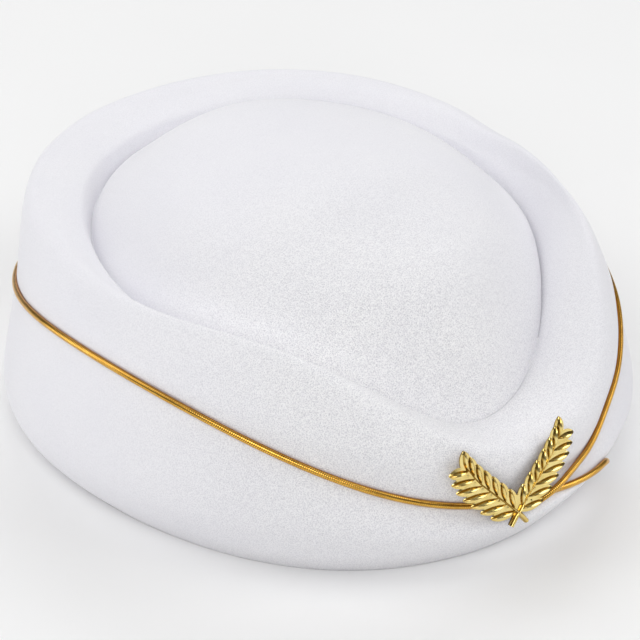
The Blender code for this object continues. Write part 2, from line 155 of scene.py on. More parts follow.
# columns: angle in degrees, place in rings, height of the cord's middle over the felt in mm
CORD_ROUTE = (
    (-4.5, 2.57, 2.00),
    (-1.8, 2.75, 2.90),
    (0.6, 2.99, 3.20),
    (3.2, 3.10, 3.00),
    (6.0, 3.13, 2.20),
    (10.0, 3.11, 1.30),
    (14.0, 3.06, 0.80),
    (18.0, 3.02, 0.50),
    (26.0, 3.00, 0.35),
    (40.0, 3.00, 0.35),
    (70.0, 3.00, 0.35),
    (100.0, 3.00, 0.35),
    (130.0, 3.00, 0.35),
    (160.0, 3.00, 0.35),
    (190.0, 3.00, 0.35),
    (220.0, 3.00, 0.35),
    (250.0, 3.00, 0.35),
    (280.0, 3.00, 0.35),
    (310.0, 3.00, 0.35),
    (336.0, 3.00, 0.35),
    (346.0, 3.00, 0.35),
    (352.0, 2.98, 0.50),
    (357.0, 2.89, 0.70),
    (362.0, 2.74, 0.80),
    (367.0, 2.50, 0.80),
    (371.0, 2.33, 0.80),
    (375.0, 2.19, 0.80),
    (379.0, 2.05, 0.75),
    (382.3, 1.78, 0.65),
    (385.0, 1.50, 0.60),
)

# Wheat badge
BADGE_ANGLE = -9.0
BADGE_HEIGHT = 17.3 * MM
BADGE_RINGS = (2.0, 4.0)      # the felt reaches BADGE_HEIGHT between these rings
BADGE_HALVINGS = 30           # of that stretch, to find the height
BADGE_STANDOFF = 3.8 * MM
BADGE_LEAN = 10.0             # degrees that its top leans back
BADGE_BEND = 160.0 * MM       # radius that the badge is curved to
SPRAY_WIDTH = 16.0 * MM
SPRAY_RISE = 19.0 * MM
# Tracks across and up the badge, as shares of SPRAY_WIDTH and SPRAY_RISE
RIB = ((0.00, 0.00), (0.28, 0.25), (0.55, 0.49), (0.80, 0.73), (1.00, 1.00))
TAIL = ((0.00, 0.00), (-0.08, -0.09), (-0.165, -0.19))     # of the stalk, below the crossing
TRACK_STEP = 0.02             # look ahead for a track's direction, as a share of one of its steps
STALK_WIDTH = 1.5 * MM
STALK_HEIGHT = 1.5 * MM
TAIL_SHARES = (1.0, 0.75, 0.5, 0.25)
TAIL_HALF = 0.5               # half width of the tail as a share of STALK_WIDTH
RIB_STEPS = 14
RIB_HALF = 0.24               # half width of the rib at its start as a share of STALK_WIDTH
RIB_TAPER = 0.10              # how much that share shrinks up to the rib's end
RIB_START = 0.1               # the rib is as high as the stalk below this share
RIB_HEIGHT = 1.0 * MM
BAR_STEPS = (-1.0, -0.75, -0.4, 0.0, 0.4, 0.75, 1.0)     # across a stalk's or the web's rounded top
BAR_SIDE = 0.35               # height of its upright sides as a share of its height
WEB_WIDTH = 3.2 * MM
WEB_RISE = 5.4 * MM
WEB_HEIGHT = 0.6 * MM
WEB_STEPS = 4
LEAF_STEP = 0.12 * MM         # the backs of neighbouring leaves differ by this much
WEB_BACK = 0.5                # place of the web's back in such steps
SPRAY_BACK = 0.4              # the same for the back of the spray at the wearer's left
LEAF_WIDTH = 3.6 * MM
LEAF_RIDGE = 1.9 * MM
PLATE_EDGE = 0.5 * MM         # thickness of a leaf's plate at its edge
EDGE_SHARE = 0.6              # the edge is at most this share of the ridge beside it
GRAIN_FOOT = 1.25             # height of the grain's foot as a share of the plate's edge
GRAIN_CURVE = 1.6             # 1 is a straight-sided grain and 2 a rounded one
TIP_LEAF = 5.2 * MM
TIP_TURN = 26.0               # degrees that the leaf at the end turns in from its rib
# columns: leaves, degrees from the spray's line, length, place on the rib of the first and of
# the last, how much the length shrinks away from LONGEST_AT, place of the backs in LEAF_STEPs
LEAF_ROWS = (
    (6, 30.0, 6.8 * MM, 0.07, 0.82, 0.0, 1),
    (7, -50.0, 9.3 * MM, 0.04, 0.94, 0.9, 3),
)
LONGEST_AT = 0.35
SHARP_ANGLE = 38.0            # degrees between faces from which their edge stays sharp
# columns: place along a leaf, half width of its plate and of its raised grain, ridge, all as shares
LEAF_SECTIONS = (
    (0.00, 0.50, 0.10, 0.32),
    (0.08, 0.66, 0.16, 0.42),
    (0.18, 0.82, 0.26, 0.66),
    (0.28, 0.93, 0.36, 0.86),
    (0.40, 1.00, 0.44, 0.98),
    (0.52, 1.00, 0.48, 1.00),
    (0.64, 0.94, 0.46, 0.96),
    (0.75, 0.80, 0.40, 0.88),
    (0.85, 0.60, 0.30, 0.74),
    (0.93, 0.38, 0.17, 0.56),
    (1.00, 0.10, 0.04, 0.34),
)
GRAIN_STEPS = 4               # facets from a grain's side to its ridge

# Finishes; each pair of colours is the darker and the lighter end of a ramp
WHITE = (1.0, 1.0, 1.0)
# columns: scale, detail and roughness of a noise
NOISES = {
    "nap": (2900.0, 2.0, 0.6),
    "tufts": (700.0, 2.0, 0.6),
    "clouds": (34.0, 3.0, 0.55),
    "strands": (2600.0, 2.0, 0.6),
    "wear": (160.0, 2.0, 0.5),
    "marks": (900.0, 3.0, 0.6),
    "tarnish": (220.0, 2.0, 0.5),
    "mottle": (6.0, 2.0, 0.5),
}
NOISE_RANGE = (0.3, 0.7)      # most of a noise's factor lies between these
COSINES = (-1.0, 1.0)         # a cosine lies between these
NAP_MIDDLE = (-30.0 * MM, -62.0 * MM, 48.0 * MM)     # the nap stands up most round this place
NAP_FAR = 85.0 * MM           # it lies flat this far from there
NAP_NEAR = 24.0 * MM          # and stands up fully within this distance
NAP_LEAST = 0.12              # share that still stands where it lies flat
FLAT_NAP = ((0.822, 0.817, 0.854), (0.860, 0.855, 0.892))
STANDING_NAP = ((0.650, 0.644, 0.680), (1.000, 0.996, 1.000))
STANDING_RANGE = (0.32, 0.60)     # of the nap's noise, where it stands up
NAP_STRENGTHS = (0.2, 0.6)    # of its bumps, from where it lies flat to where it stands up
NAP_BUMP = 0.25 * MM
TUFT_STRENGTH = 0.12
TUFT_BUMP = 0.5 * MM
FELT_ROUGHNESS = (0.88, 1.0)
FELT_CLOUDS = ((0.975, 0.975, 0.985), WHITE)
# the felt's colour is made darker towards the hem
HEM_DARKENING = ((0.955, 0.950, 0.945), WHITE)
HEM_DARKENING_TOP = 9.0 * MM
HEM_DARKENING_RANGE = (0.1, 1.0)   # of the height up to HEM_DARKENING_TOP
THREAD = ((0.78, 0.39, 0.03), (1.00, 0.68, 0.16))
THREAD_AGE = ((0.82, 0.78, 0.72), WHITE)
# painted shade in the hollows between the windings of the thread
THREAD_HOLLOW_SHADE = ((0.50, 0.36, 0.22), WHITE)
HOLLOW_SHADE_RANGE = (0.0, 0.6)     # from the bottom of a hollow of the winding to its crest at 1
# painted shade on the side of the cord away from its painted bright side
THREAD_SIDE_SHADE = ((0.60, 0.38, 0.12), WHITE)
SIDE_SHADE_RANGE = (0.10, 0.62)     # from the side away from PAINTED_BRIGHT_SIDE to that side at 1
THREAD_ROUGHNESS = (0.10, 0.20)
THREAD_STRENGTH = 0.1
METAL_BUMP = 0.05 * MM
GILT_STRENGTH = 0.12
POLISHED_GILT = ((0.84, 0.64, 0.22), (0.98, 0.82, 0.36))
POLISHED_ROUGHNESS = (0.12, 0.24)
SATIN_BRASS = ((0.46, 0.34, 0.15), (0.66, 0.52, 0.27))
SATIN_ROUGHNESS = (0.30, 0.48)
FLOOR_TONE = ((0.90, 0.90, 0.90), (0.92, 0.92, 0.92))
# Tint of the gilt: antiqued dark in the lowest places, painted dark reflection on the grains' lower
# flanks, bright where it is rubbed; columns: height over the badge's back as a share of
# RELIEF_TINT_HEIGHT, tint
PATINA_AND_PAINTED_REFLECTION = (
    (0.10, (0.30, 0.21, 0.08)),
    (0.24, (0.92, 0.88, 0.76)),
    (0.30, (1.00, 1.00, 1.00)),
    (0.36, (0.42, 0.32, 0.16)),
    (0.56, (0.50, 0.40, 0.22)),
    (0.76, (0.96, 0.93, 0.86)),
    (0.90, (1.00, 1.00, 1.00)),
)
RELIEF_TINT_HEIGHT = 2.0 * MM

# The camera, fitted to the photograph
PHOTO_WIDTH = 640             # in pixels
CAMERA_AZIMUTH = -43.635
CAMERA_ELEVATION = 31.451
CAMERA_ROLL = 1.833
CAMERA_DISTANCE = 0.900
CAMERA_HEIGHT = 45.12 * MM    # of the point that it turns round
CAMERA_SCALE = 3.359 * 900 / PHOTO_WIDTH      # pixels to a mm times mm away, over the width
FRAME_SHIFT = (-30.463 / PHOTO_WIDTH, -29.198 / PHOTO_WIDTH)
SENSOR_WIDTH = 36.0           # in mm

# Studio
FLOOR_HALF = 3.0
WORLD_STRENGTH = 0.146
LIGHT_TARGET = (0.0, 0.0, 0.04)
# columns: name, degrees round from the camera, degrees up, size and distance in metres, watts
LIGHTS = (
    ("key", 0.0, 38.0, 0.8, 1.3, 6.6),
    ("right", 90.0, 38.0, 0.8, 1.3, 4.9),
    ("behind", 180.0, 38.0, 0.8, 1.3, 5.6),
    ("left", 270.0, 38.0, 0.8, 1.3, 2.8),
    ("high left", 270.0, 62.0, 0.8, 1.3, 2.6),
    ("overhead", 0.0, 90.0, 1.2, 1.3, 0.9),
    ("low left", 270.0, 10.0, 0.4, 1.0, 1.5),
    ("low right", 90.0, 10.0, 0.4, 1.0, 0.6),
)


def catmull_rom(before, near, far, after, part):
    """Smooth point between near and far."""
    return (near * 2 + (far - before) * part
            + (before * 2 - near * 5 + far * 4 - after) * part ** 2
            + (near * 3 - before - far * 3 + after) * part ** 3) / 2


def even_curve(values, angle):
    """Value at an angle on the smooth curve, alike on both sides, through one value a station."""
    spans = len(values) - 1
    total = 0.0
    for wave in range(spans + 1):
        share = 0.0
        for place, value in enumerate(values):
            weight = 0.5 if place in (0, spans) else 1.0
            share += weight * value * math.cos(math.pi * wave * place / spans)
        if wave in (0, spans):
            share *= 0.5
        total += share * 2 / spans * math.cos(wave * math.radians(angle))
    return total


def ring_point(ring, angle):
    """Point of a ring of the felt, from the hem's cut edge (0) to the top of the dome."""
    if ring == TOP_RING:
        # The top lies over the mean height of the last ring
        last = RINGS[-1][2]
        height = (last[0] + 2 * last[1] + 2 * last[2] + 2 * last[3] + last[4]) / 8 * CROWN_HEIGHT
        return np.array((0.0, 0.0, height + DOME_RISE))
    plan = even_curve((FRONT_REACH, SIDE_REACH, BACK_REACH), angle)
    reaches, heights = RINGS[max(ring - FIRST_RING, 0)][1:]
    reach = plan * even_curve(reaches, angle)
    height = CROWN_HEIGHT * even_curve(heights, angle)
    if ring < FIRST_RING:
        reach -= HEM_CURL
        height = 0.0
    if ring == 0:
        reach -= HEM_FLAT
    turn = math.radians(angle)
    return np.array((reach * math.sin(turn), -reach * math.cos(turn), height))


def up_the_felt(ring, before, near, far, after, part):
    """Point between two rings; the groove is a crease, so the curve comes to a corner there."""
    if ring == GROOVE_RING:
        before = before + (far - before) * CREASE_SHARPNESS
    if ring == GROOVE_RING - 1:
        after = after + (near - after) * CREASE_SHARPNESS
    return catmull_rom(before, near, far, after, part)


def dented(point, angle, along):
    """Where the dents move a point of the felt to."""
    outwards = np.array((math.sin(math.radians(angle)), -math.cos(math.radians(angle)), 0.0))
    for middle, spread, ring, rings, out, up in DENTS:
        away = (angle - middle + 180) % 360 - 180
        share = math.exp(-(away / spread) ** 2 - ((along - ring) / rings) ** 2)
        point = point + (outwards * out + np.array((0.0, 0.0, up))) * SIDE_REACH * share
    return point


def felt_point(angle, along):
    """Point of the felt's outer face at an angle, so many rings up from the hem."""
    ring = min(int(along), TOP_RING - 1)
    part = along - ring
    near, far = ring_point(ring, angle), ring_point(ring + 1, angle)
    if ring == 0:
        point = near + (far - near) * part
    else:
        if ring + 2 <= TOP_RING:
            beyond = ring_point(ring + 2, angle)
        else:
            beyond = ring_point(ring, angle + 180)
        point = up_the_felt(ring, ring_point(ring - 1, angle), near, far, beyond, part)
    return dented(point, angle, along)


def felt_normal(angle, along):
    """Direction straight out of the felt's outer face."""
    round_hat = felt_point(angle + NORMAL_TURN, along) - felt_point(angle - NORMAL_TURN, along)
    up_hat = felt_point(angle, along + NORMAL_CLIMB) - felt_point(angle, along - NORMAL_CLIMB)
    out = np.cross(round_hat, up_hat)
    return out / np.linalg.norm(out)


def smooth_route(points, count):
    """Evenly spaced points on the smooth curve through some points."""
    points = [np.array(point, float) for point in points]
    ends = [points[0] * 2 - points[1]] + points + [points[-1] * 2 - points[-2]]
    fine = []
    for place in range(len(points) - 1):
        for part in range(ROUTE_STEPS):
            fine.append(catmull_rom(*ends[place:place + 4], part / ROUTE_STEPS))
    fine.append(points[-1])
    fine = np.array(fine)
    lengths = np.concatenate(([0.0], np.cumsum(np.linalg.norm(np.diff(fine, axis=0), axis=1))))
    goals = np.linspace(0.0, lengths[-1], count)
    return np.stack([np.interp(goals, lengths, fine[:, axis]) for axis in range(3)], axis=1)


def cord_centres(count):
    """Evenly spaced points on the cord's centre line."""
    route = [(math.radians(angle), along, up * HEIGHT_WEIGHT) for angle, along, up in CORD_ROUTE]
    centres = []
    for turn, along, up in smooth_route(route, ROUTE_POINTS):
        angle = math.degrees(turn)
        height = up * (1 / HEIGHT_WEIGHT) * MM
        centres.append(felt_point(angle, along) + felt_normal(angle, along) * height)
    return smooth_route(centres, count)


def felt_places(angle):
    """Places up the felt of the rows of vertices at an angle, and which are the cord's seat."""
    line = felt_point(angle, CORD_RING)
    below = SEAT_SPAN / np.linalg.norm(line - felt_point(angle, CORD_RING - 1))
    above = SEAT_SPAN / np.linalg.norm(line - felt_point(angle, CORD_RING + 1))
    places = []
    for ring, rows in enumerate(ROWS_UP):
        if ring == CORD_RING - 1:
            places += [(ring + (1 - below) * row / rows, False) for row in range(rows)]
            places += [(CORD_RING - below * share, True) for share in SEAT_ROWS[::-1]]
        elif ring == CORD_RING:
            places.append((ring, True))
            places += [(CORD_RING + above * share, True) for share in SEAT_ROWS]
            places += [(ring + above + (1 - above) * row / rows, False) for row in range(1, rows)]
        else:
            places += [(ring + row / rows, False) for row in range(rows)]
    return places


def felt_grid():
    """Outer face of the felt as rows of points, without the top, and which rows the seat adds."""
    columns = []
    for place in range(FELT_COLUMNS):
        angle = 360 * place / FELT_COLUMNS
        table = {ring: ring_point(ring, angle) for ring in range(TOP_RING + 1)}
        table[TOP_RING + 1] = ring_point(TOP_RING - 1, angle + 180)
        column = []
        places = felt_places(angle)
        for along, _ in places:
            ring = min(int(along + ROUNDING), TOP_RING - 1)
            part = along - ring
            if ring == 0:
                point = table[0] + (table[1] - table[0]) * part
            else:
                point = up_the_felt(ring, *(table[ring + step] for step in (-1, 0, 1, 2)), part)
            column.append(dented(point, angle, along))
        columns.append(column)
    return np.array(columns).transpose(1, 0, 2), np.array([seat for _, seat in places])


def grid_normals(grid):
    """Outward directions of a grid of rows of points that closes round the hat."""
    round_hat = np.roll(grid, -1, axis=1) - np.roll(grid, 1, axis=1)
    up_hat = np.gradient(grid, axis=0)
    out = np.cross(round_hat, up_hat)
    return out / np.linalg.norm(out, axis=2, keepdims=True)


def pressed_by_cord(grid, normals, centres):
    """How deep each point of the felt is pressed in by the cord that lies over it."""
    tree = kdtree.KDTree(len(centres))
    for place, centre in enumerate(centres):
        tree.insert(centre, place)
    tree.balance()
    tangents = np.gradient(centres, axis=0)
    tangents /= np.linalg.norm(tangents, axis=1, keepdims=True)
    reach = CORD_DIAMETER / 2 + CORD_CONTACT
    depth = np.zeros(grid.shape[:2])
    for row in range(grid.shape[0]):
        for column in range(grid.shape[1]):
            point = grid[row, column]
            _, place, away = tree.find(point)
            if away > SEAT_REACH:
                continue
            offset = point - centres[place]
            offset = offset - tangents[place] * offset.dot(tangents[place])
            height = offset.dot(normals[row, column])
            if height > 0 or height < -SEAT_DEEPEST:
                continue
            aside = math.sqrt(max(offset.dot(offset) - height * height, 0.0))
            floor = -math.sqrt(reach ** 2 - aside ** 2) if aside < reach else 0.0
            hug = max(height - floor, 0.0) if aside < reach else 0.0
            near = math.exp(-(max(aside - reach * DIMPLE_START, 0.0) / DIMPLE_SPREAD) ** 2)
            touch = max(0.0, 1.0 + height / DIMPLE_TOUCH)
            depth[row, column] = max(hug, DIMPLE * near * touch)
    return depth


def felt_swell(point):
    """How far the felt stands out or in at a point through its unevenness."""
    return sum(height * noise.noise(Vector(point) * scale + Vector(start))
               for height, scale, start in SWELLS)


def mesh_object(name, points, faces, smooth=True):
    """New object of a mesh, in the scene's collection."""
    mesh = bpy.data.meshes.new(name)
    mesh.from_pydata([tuple(point) for point in points], [], faces)
    mesh.update()
    if smooth:
        mesh.shade_smooth()
    item = bpy.data.objects.new(name, mesh)
    bpy.context.scene.collection.objects.link(item)
    return item


def band(low, count):
    """Faces between a closed row of vertices, by its place among the rows, and the next row."""
    faces = []
    for place in range(count):
        after = (place + 1) % count
        faces.append((low * count + place, low * count + after,
                      (low + 1) * count + after, (low + 1) * count + place))
    return faces


def make_felt(centres, shift):
    """The crown with its inner face, its cut edge and its outer face, closed at both tops."""
    outer, seat = felt_grid()
    normals = grid_normals(outer)
    # Inside, every second row is enough, and the cord's seat needs none
    inner = (outer - normals * FELT_WALL)[~seat][1::2]
    depth = pressed_by_cord(outer, normals, centres)
    swell = np.array([[felt_swell(point) for point in row] for row in outer])
    hem = np.minimum(1.0, np.arange(len(outer)) / HEM_ROWS)[:, None]
    outer = outer + normals * (swell * hem - depth)[:, :, None]
    inside = outer[0] - outer[ROWS_UP[0]]
    inside = inside / np.linalg.norm(inside, axis=1, keepdims=True)
    upper = outer[0] + np.array((0.0, 0.0, FELT_WALL))
    middle = (outer[0] + upper) / 2
    edge = []
    for turn in EDGE_TURNS:
        around = math.radians(turn)
        edge.append(middle + inside * (FELT_WALL / 2 * math.sin(around))
                    - np.array((0.0, 0.0, FELT_WALL / 2 * math.cos(around))))
    rows = list(inner[::-1]) + [upper] + edge[::-1] + list(outer)
    faces = []
    for low in range(len(rows) - 1):
        faces += band(low, FELT_COLUMNS)
    top = ring_point(TOP_RING, 0.0)
    points = np.concatenate(rows + [[top, top - np.array((0.0, 0.0, FELT_WALL))]])
    peak, hollow = len(points) - 2, len(points) - 1
    last = (len(rows) - 1) * FELT_COLUMNS
    for place in range(FELT_COLUMNS):
        after = (place + 1) % FELT_COLUMNS
        faces.append((last + place, last + after, peak))
        faces.append((after, place, hollow))
    return mesh_object("felt_crown", points + shift, faces)


def make_cord(centres, shift):
    """The trim cord with its gold thread wound round it."""
    length = np.linalg.norm(np.diff(centres, axis=0), axis=1).sum()
    turns = int(length / THREAD_PITCH)
    count = turns * STEPS_A_TURN + 1
    along = np.linspace(0, len(centres) - 1, count)
    steps = range(len(centres))
    path = np.stack([np.interp(along, steps, centres[:, axis]) for axis in range(3)], axis=1)
    tangents = np.gradient(path, axis=0)
    tangents /= np.linalg.norm(tangents, axis=1, keepdims=True)
    sides = np.cross(tangents, np.array((0.0, 0.0, 1.0)))
    sides /= np.linalg.norm(sides, axis=1, keepdims=True)
    overs = np.cross(sides, tangents)
    rings = []
    for place in range(CORD_SIDES):
        around = 2 * math.pi * place / CORD_SIDES
        phase = 2 * math.pi * np.arange(count) / STEPS_A_TURN - around
        radius = CORD_DIAMETER / 2 - THREAD_RELIEF * (0.5 - 0.5 * np.cos(phase))
        rings.append(path + (sides * math.cos(around) + overs * math.sin(around)) * radius[:, None])
    points = np.array(rings).transpose(1, 0, 2).reshape(-1, 3)
    faces = []
    for row in range(count - 1):
        faces += band(row, CORD_SIDES)
    faces.append(tuple(range(CORD_SIDES))[::-1])
    faces.append(tuple(range((count - 1) * CORD_SIDES, count * CORD_SIDES)))
    item = mesh_object("wound_cord", points + shift, faces)
    # U counts turns of the thread along the cord, and V goes once round it
    layer = item.data.uv_layers.new(name="cord")
    for face in item.data.polygons:
        closing = face.index % CORD_SIDES == CORD_SIDES - 1
        for loop in face.loop_indices:
            row, place = divmod(item.data.loops[loop].vertex_index, CORD_SIDES)
            if closing and place == 0:
                place = CORD_SIDES
            layer.data[loop].uv = (row / STEPS_A_TURN, place / CORD_SIDES)
    return item


def badge_frame():
    """Where the badge's stalks cross on its back, with its right, up and outward directions."""
    out = Vector((math.sin(math.radians(BADGE_ANGLE)), -math.cos(math.radians(BADGE_ANGLE)), 0.0))
    low, high = BADGE_RINGS
    for _ in range(BADGE_HALVINGS):
        middle = (low + high) / 2
        if felt_point(BADGE_ANGLE, middle)[2] < BADGE_HEIGHT:
            low = middle
        else:
            high = middle
    across = Vector((0.0, 0.0, 1.0)).cross(out).normalized()
    lean = Matrix.Rotation(-math.radians(BADGE_LEAN), 3, across)
    outward = lean @ out
    up = outward.cross(across)
    return Vector(felt_point(BADGE_ANGLE, low)) + out * BADGE_STANDOFF, across, up, outward


def on_badge(frame, across, up, height):
    """Point in space of a place on the badge, which curves gently round the hat."""
    corner, right, upward, outward = frame
    turn = across / BADGE_BEND
    sink = BADGE_BEND * (1 - math.cos(turn))
    reach = BADGE_BEND * math.sin(turn)
    return (corner + right * (reach + height * math.sin(turn)) + upward * up
            + outward * (height * math.cos(turn) - sink))


def rib_place(side, share, track=RIB):
    """Point and direction on a spray's rib or tail in the badge's plane; side is -1 or 1."""
    steps = len(track) - 1
    step = min(int(share * steps), steps - 1)
    part = share * steps - step
    points = [Vector((side * x * SPRAY_WIDTH, y * SPRAY_RISE)) for x, y in track]
    ends = [points[0] * 2 - points[1]] + points + [points[-1] * 2 - points[-2]]
    here = catmull_rom(*ends[step:step + 4], part)
    ahead = catmull_rom(*ends[step:step + 4], part + TRACK_STEP)
    return here, (ahead - here).normalized()


def turned(direction, angle):
    """Direction in the badge's plane, turned by an angle in degrees."""
    turn = math.radians(angle)
    return Vector((direction.x * math.cos(turn) - direction.y * math.sin(turn),
                   direction.x * math.sin(turn) + direction.y * math.cos(turn)))


def closed_bar(frame, sections):
    """Closed solid through sections; each is a list of (place in the badge's plane, height)."""
    build = bmesh.new()
    loops = []
    for section in sections:
        loops.append([build.verts.new(on_badge(frame, flat.x, flat.y, height))
                      for flat, height in section])
    for near, far in zip(loops, loops[1:]):
        for place in range(len(near)):
            after = (place + 1) % len(near)
            build.faces.new((near[place], near[after], far[after], far[place]))
    build.faces.new(loops[0][::-1])
    build.faces.new(loops[-1])
    bmesh.ops.triangulate(build, faces=build.faces)
    bmesh.ops.recalc_face_normals(build, faces=build.faces)
    return build


def leaf(frame, start, direction, length, back):
    """One leaf: a thin plate with a raised pointed grain on it."""
    sideways = turned(direction, 90)
    sections = []
    for share, plate, grain, ridge in LEAF_SECTIONS:
        middle = start + direction * (length * share)
        half, inner = LEAF_WIDTH / 2 * plate, LEAF_WIDTH / 2 * grain
        top = LEAF_RIDGE * ridge
        edge = min(PLATE_EDGE, top * EDGE_SHARE)
        foot = edge * GRAIN_FOOT
        section = [(middle - sideways * half, back), (middle - sideways * half, edge)]
        for step in range(-GRAIN_STEPS, GRAIN_STEPS + 1):
            part = step / GRAIN_STEPS
            height = foot + (top - foot) * (1 - abs(part) ** GRAIN_CURVE)
            section.append((middle + sideways * (inner * part), height))
        section += [(middle + sideways * half, edge), (middle + sideways * half, back)]
        sections.append(section)
    return closed_bar(frame, sections)


def ridge_bar(frame, spots, back):
    """A stalk or the web: (middle, sideways, half width, height) sections with a rounded top."""
    sections = []
    for middle, sideways, half, high in spots:
        section = [(middle - sideways * half, back)]
        for part in BAR_STEPS:
            height = high * (BAR_SIDE + (1 - BAR_SIDE) * math.sqrt(max(1 - part ** 2, 0.0)))
            section.append((middle + sideways * (half * part), height))
        section.append((middle + sideways * half, back))
        sections.append(section)
    return closed_bar(frame, sections)


def stalk(frame, side, back):
    """A spray's stalk below the crossing and its rib above it."""
    spots = []
    for share in TAIL_SHARES:
        here, ahead = rib_place(side, share, TAIL)
        spots.append((here, turned(-ahead, 90), STALK_WIDTH * TAIL_HALF, STALK_HEIGHT))
    for step in range(RIB_STEPS + 1):
        share = step / RIB_STEPS
        here, ahead = rib_place(side, share)
        high = STALK_HEIGHT if share < RIB_START else RIB_HEIGHT
        spots.append((here, turned(ahead, 90), STALK_WIDTH * (RIB_HALF - RIB_TAPER * share), high))
    return ridge_bar(frame, spots, back)


def web(frame):
    """The low web that fills the foot of the V."""
    spots = []
    for step in range(WEB_STEPS + 1):
        middle = Vector((0.0, WEB_RISE * (step / WEB_STEPS)))
        spots.append((middle, Vector((-1.0, 0.0)), WEB_WIDTH / 2, WEB_HEIGHT))
    return ridge_bar(frame, spots, WEB_BACK * LEAF_STEP)


def spray_pieces(frame, side):
    """Solids of one spray: stalk, leaf at the end, leaves inside and outside the V."""
    under = SPRAY_BACK * LEAF_STEP if side > 0 else 0.0
    pieces = [stalk(frame, side, -LEAF_STEP - under)]
    end, ahead = rib_place(side, 1.0)
    ahead = turned(ahead, side * TIP_TURN)
    pieces.append(leaf(frame, end - ahead * STALK_WIDTH, ahead, TIP_LEAF + STALK_WIDTH, under))
    along = Vector((side * SPRAY_WIDTH, SPRAY_RISE)).normalized()
    for count, spread, length, first, last, taper, depth in LEAF_ROWS:
        for place in range(count):
            share = first + (last - first) * place / (count - 1)
            size = length * (1.0 - taper * (share - LONGEST_AT) ** 2)
            back = LEAF_STEP * (depth + place % 2) + under
            start = rib_place(side, share)[0]
            pieces.append(leaf(frame, start, turned(along, side * spread), size, back))
    return pieces


def make_badge(shift):
    """The two sprays and their web, joined into one casting."""
    frame = badge_frame()
    group = bpy.data.collections.new("badge leaves")
    badge = None
    for build in spray_pieces(frame, -1) + spray_pieces(frame, 1) + [web(frame)]:
        mesh = bpy.data.meshes.new("leaf")
        build.to_mesh(mesh)
        build.free()
        item = bpy.data.objects.new("wheat_relief", mesh)
        if badge is None:
            badge = item
            bpy.context.scene.collection.objects.link(item)
        else:
            group.objects.link(item)
    join = badge.modifiers.new("joined sprays", 'BOOLEAN')
    join.operation = 'UNION'
    join.operand_type = 'COLLECTION'
    join.collection = group
    join.solver = 'MANIFOLD'
    whole = badge.evaluated_get(bpy.context.evaluated_depsgraph_get())
    mesh = bpy.data.meshes.new_from_object(whole)
    badge.modifiers.clear()
    badge.data = mesh
    badge.name = "wheat_relief"
    for item in list(group.objects):
        bpy.data.objects.remove(item)
    bpy.data.collections.remove(group)
    mesh.transform(Matrix.Translation(shift))
    mesh.shade_smooth()
    mesh.set_sharp_from_angle(angle=math.radians(SHARP_ANGLE))
    return badge


def new_material(name):
    """A material, its node tree, its shader and places on the object it is for."""
    finish = bpy.data.materials.new(name)
    finish.use_nodes = True
    tree = finish.node_tree
    place = tree.nodes.new("ShaderNodeTexCoord").outputs["Object"]
    return finish, tree, tree.nodes["Principled BSDF"], place


def node(tree, kind, **settings):
    """A node with some of its inputs' values or its own settings."""
    made = tree.nodes.new(kind)
    for key, value in settings.items():
        if key in made.inputs:
            made.inputs[key].default_value = value
        else:
            setattr(made, key, value)
    return made


def settle(shader, **settings):
    """Set the shader's own sockets, named with _ for a space."""
    for key, value in settings.items():
        shader.inputs[key.replace("_", " ")].default_value = value


def noise_factor(tree, place, name):
    """Factor of one of the NOISES."""
    scale, detail, rough = NOISES[name]
    made = node(tree, "ShaderNodeTexNoise", Scale=scale, Detail=detail, Roughness=rough)
    tree.links.new(place, made.inputs["Vector"])
    return made.outputs["Fac"]


def ramp(tree, source, places, tints):
    """Colour that goes from one tint to the other as a factor goes from one place to the other."""
    made = tree.nodes.new("ShaderNodeValToRGB")
    for stop, place, tint in zip(made.color_ramp.elements, places, tints):
        stop.position = place
        stop.color = (*tint, 1.0)
    tree.links.new(source, made.inputs["Fac"])
    return made.outputs["Color"]


def span(tree, source, before, after=(0.0, 1.0)):
    """Value between the two of after as the source goes between the two of before."""
    made = tree.nodes.new("ShaderNodeMapRange")
    names = ("From Min", "From Max", "To Min", "To Max")
    for name, value in zip(names, (*before, *after)):
        made.inputs[name].default_value = value
    tree.links.new(source, made.inputs["Value"])
    return made.outputs["Result"]


def times(tree, first, second):
    """Product of two colours."""
    made = node(tree, "ShaderNodeMix", data_type='RGBA', blend_type='MULTIPLY')
    made.inputs["Factor"].default_value = 1.0
    tree.links.new(first, made.inputs["A"])
    tree.links.new(second, made.inputs["B"])
    return made.outputs["Result"]


def worked_out(tree, operation, *values):
    """Result of a sum, whose values are numbers or other nodes' outputs."""
    made = node(tree, "ShaderNodeMath", operation=operation)
    for socket, value in zip(made.inputs, values):
        if isinstance(value, float):
            socket.default_value = value
        else:
            tree.links.new(value, socket)
    return made.outputs["Value"]


def vector_value(tree, operation, place, constant):
    """Distance from, or dot product with, a constant vector."""
    made = node(tree, "ShaderNodeVectorMath", operation=operation)
    made.inputs[1].default_value = constant
    tree.links.new(place, made.inputs[0])
    return made.outputs["Value"]


def split(tree, vector, axis):
    """One coordinate of a vector."""
    made = tree.nodes.new("ShaderNodeSeparateXYZ")
    tree.links.new(vector, made.inputs["Vector"])
    return made.outputs[axis]


